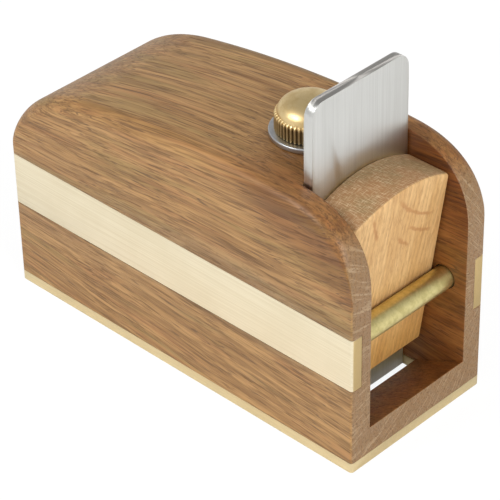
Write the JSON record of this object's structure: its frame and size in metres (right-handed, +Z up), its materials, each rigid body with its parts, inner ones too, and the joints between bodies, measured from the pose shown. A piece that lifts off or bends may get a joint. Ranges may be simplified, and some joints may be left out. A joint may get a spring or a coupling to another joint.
{
  "type": "hand plane",
  "caption": "Small wooden hand plane with an upright iron, brass sole and side inlays, a wedge held by a brass cross pin, and a fluted depth knob.",
  "frame": {"origin": "middle of the sole's lower face, under the middle of the body", "axes": "+X along the body towards the open toe, +Y to the left side, +Z up out of the sole"},
  "size_m": [0.124, 0.05, 0.0973],
  "materials": {
    "smoked_oak": "oiled smoked oak, long grain",
    "light_oak": "oiled light oak, upright grain",
    "brushed_brass": "brushed along its length",
    "turned_brass": "turned and polished",
    "aged_brass": "dulled, satin",
    "blade_steel": "ground and brushed upright",
    "zinc_steel": "zinc plated"
  },
  "bodies": {
    "plane_body": {"body": "smoked_oak", "sole_plate": "brushed_brass", "sole_screw_1": "turned_brass", "sole_screw_2": "turned_brass", "sole_screw_3": "turned_brass", "sole_screw_4": "turned_brass", "sole_screw_5": "turned_brass", "sole_screw_6": "turned_brass", "inlay_left": "brushed_brass", "inlay_right": "brushed_brass", "knob_washer": "zinc_steel", "upper_bush": "turned_brass", "lower_bush": "turned_brass"},
    "adjuster": {"adjuster_knob": "turned_brass", "adjuster_screw": "zinc_steel", "thrust_collar": "zinc_steel", "collar_set_screw": "zinc_steel"},
    "iron": {"blade": "blade_steel", "carriage": "turned_brass", "dog_pin": "zinc_steel"},
    "wedge": {"wedge": "light_oak"},
    "cross_pin": {"cross_pin": "aged_brass"}
  },
  "joints": [
    {"name": "adjuster_turn", "type": "hinge", "parent": "plane_body", "child": "adjuster", "pos_m": [0.025, 0, 0.0763], "axis": [0, 0, 1], "range_deg": [-289, 1153]},
    {"name": "blade_depth", "type": "slide", "parent": "plane_body", "child": "iron", "axis": [0, 0, 1], "range_m": [-0.0008, 0.0032]},
    {"name": "wedge_lift", "type": "slide", "parent": "plane_body", "child": "wedge", "axis": [0, 0, 1], "range_m": [0, 0.062]},
    {"name": "pin_turn", "type": "hinge", "parent": "plane_body", "child": "cross_pin", "pos_m": [0.0547, 0, 0.0349], "axis": [0, 1, 0], "continuous": true}
  ],
  "couplings": [
    {"joint": "adjuster_turn", "follows": "blade_depth", "rad_per_m": 6283.2}
  ]
}
